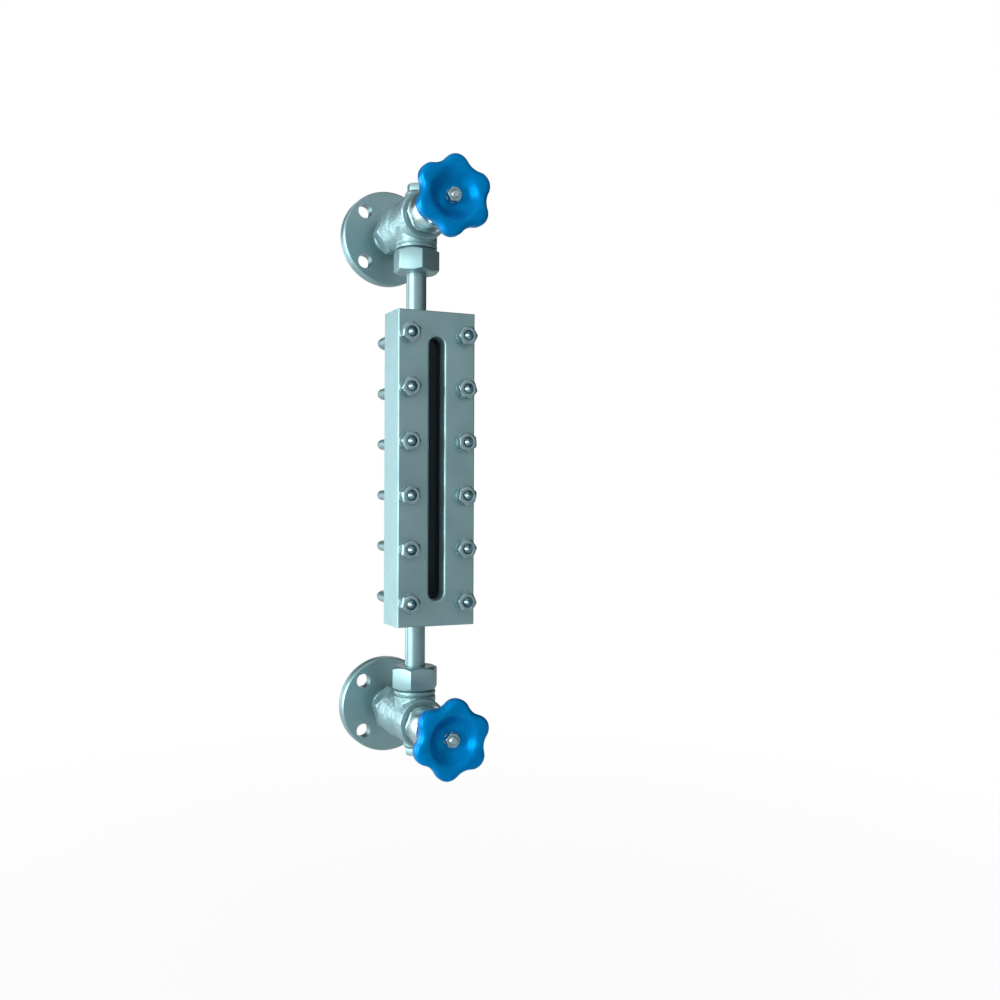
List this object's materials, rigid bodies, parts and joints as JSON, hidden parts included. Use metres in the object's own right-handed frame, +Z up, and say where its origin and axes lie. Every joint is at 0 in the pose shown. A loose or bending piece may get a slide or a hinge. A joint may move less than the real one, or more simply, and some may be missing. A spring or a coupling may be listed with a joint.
{
  "type": "tank level gauge",
  "caption": "Upright reflex tank level gauge: a long sight glass clamped by U-bolts between two flanged shut-off valves with lobed handwheels.",
  "frame": {"origin": "centre of the lower flange's sealing face, on the lower valve's axis", "axes": "+Z up along the gauge to the upper valve, +Y out of the flanges towards the tank, +X to the right when looking at the glass"},
  "size_m": [0.1, 0.2031, 0.6],
  "materials": {
    "grey_paint": "aluminium paint over forged and drawn steel, slightly grainy",
    "bright_steel": "machined, zinc plated",
    "blue_enamel": "glossy enamel on cast metal",
    "reflex_glass": "pressed borosilicate, polished front, prism grooves behind",
    "sealing_sheet": "pressed fibre sheet",
    "graphite": "braided graphite packing"
  },
  "bodies": {
    "root": {"front_cover": "grey_paint", "chamber": "grey_paint", "sight_glass": "reflex_glass", "glass_cushion": "sealing_sheet", "glass_gasket": "sealing_sheet", "u_bolts": "bright_steel", "washers": "bright_steel", "nuts": "bright_steel", "lower_flange": "grey_paint", "lower_tail_gasket": "sealing_sheet", "lower_tail_nut": "grey_paint", "lower_valve_body": "grey_paint", "lower_drain_plug_gasket": "sealing_sheet", "lower_drain_plug": "bright_steel", "lower_union_gasket": "sealing_sheet", "lower_union_collar": "grey_paint", "lower_union_nut": "grey_paint", "lower_pipe": "grey_paint", "lower_bonnet_gasket": "sealing_sheet", "lower_bonnet": "bright_steel", "lower_packing": "graphite", "lower_gland": "bright_steel", "lower_gland_nut": "bright_steel", "upper_flange": "grey_paint", "upper_tail_gasket": "sealing_sheet", "upper_tail_nut": "grey_paint", "upper_valve_body": "grey_paint", "upper_vent_plug_gasket": "sealing_sheet", "upper_vent_plug": "bright_steel", "upper_union_gasket": "sealing_sheet", "upper_union_collar": "grey_paint", "upper_union_nut": "grey_paint", "upper_pipe": "grey_paint", "upper_bonnet_gasket": "sealing_sheet", "upper_bonnet": "bright_steel", "upper_packing": "graphite", "upper_gland": "bright_steel", "upper_gland_nut": "bright_steel"},
    "lower_disc": {"lower_disc": "bright_steel"},
    "lower_stem": {"lower_stem": "bright_steel", "lower_handwheel": "blue_enamel", "lower_wheel_washer": "bright_steel", "lower_wheel_nut": "bright_steel"},
    "upper_disc": {"upper_disc": "bright_steel"},
    "upper_stem": {"upper_stem": "bright_steel", "upper_handwheel": "blue_enamel", "upper_wheel_washer": "bright_steel", "upper_wheel_nut": "bright_steel"}
  },
  "joints": [
    {"name": "lower_disc_lift", "type": "slide", "parent": "root", "child": "lower_disc", "axis": [0, -1, 0], "range_m": [0, 0.006]},
    {"name": "lower_wheel_turn", "type": "hinge", "parent": "lower_disc", "child": "lower_stem", "pos_m": [0, -0.15, 0], "axis": [0, -1, 0], "range_deg": [0, 1080]},
    {"name": "upper_disc_lift", "type": "slide", "parent": "root", "child": "upper_disc", "axis": [0, -1, 0], "range_m": [0, 0.006]},
    {"name": "upper_wheel_turn", "type": "hinge", "parent": "upper_disc", "child": "upper_stem", "pos_m": [0, -0.15, 0.5], "axis": [0, -1, 0], "range_deg": [0, 1080]}
  ],
  "couplings": [
    {"joint": "lower_disc_lift", "follows": "lower_wheel_turn", "m_per_rad": 0.0003183},
    {"joint": "upper_disc_lift", "follows": "upper_wheel_turn", "m_per_rad": 0.0003183}
  ]
}
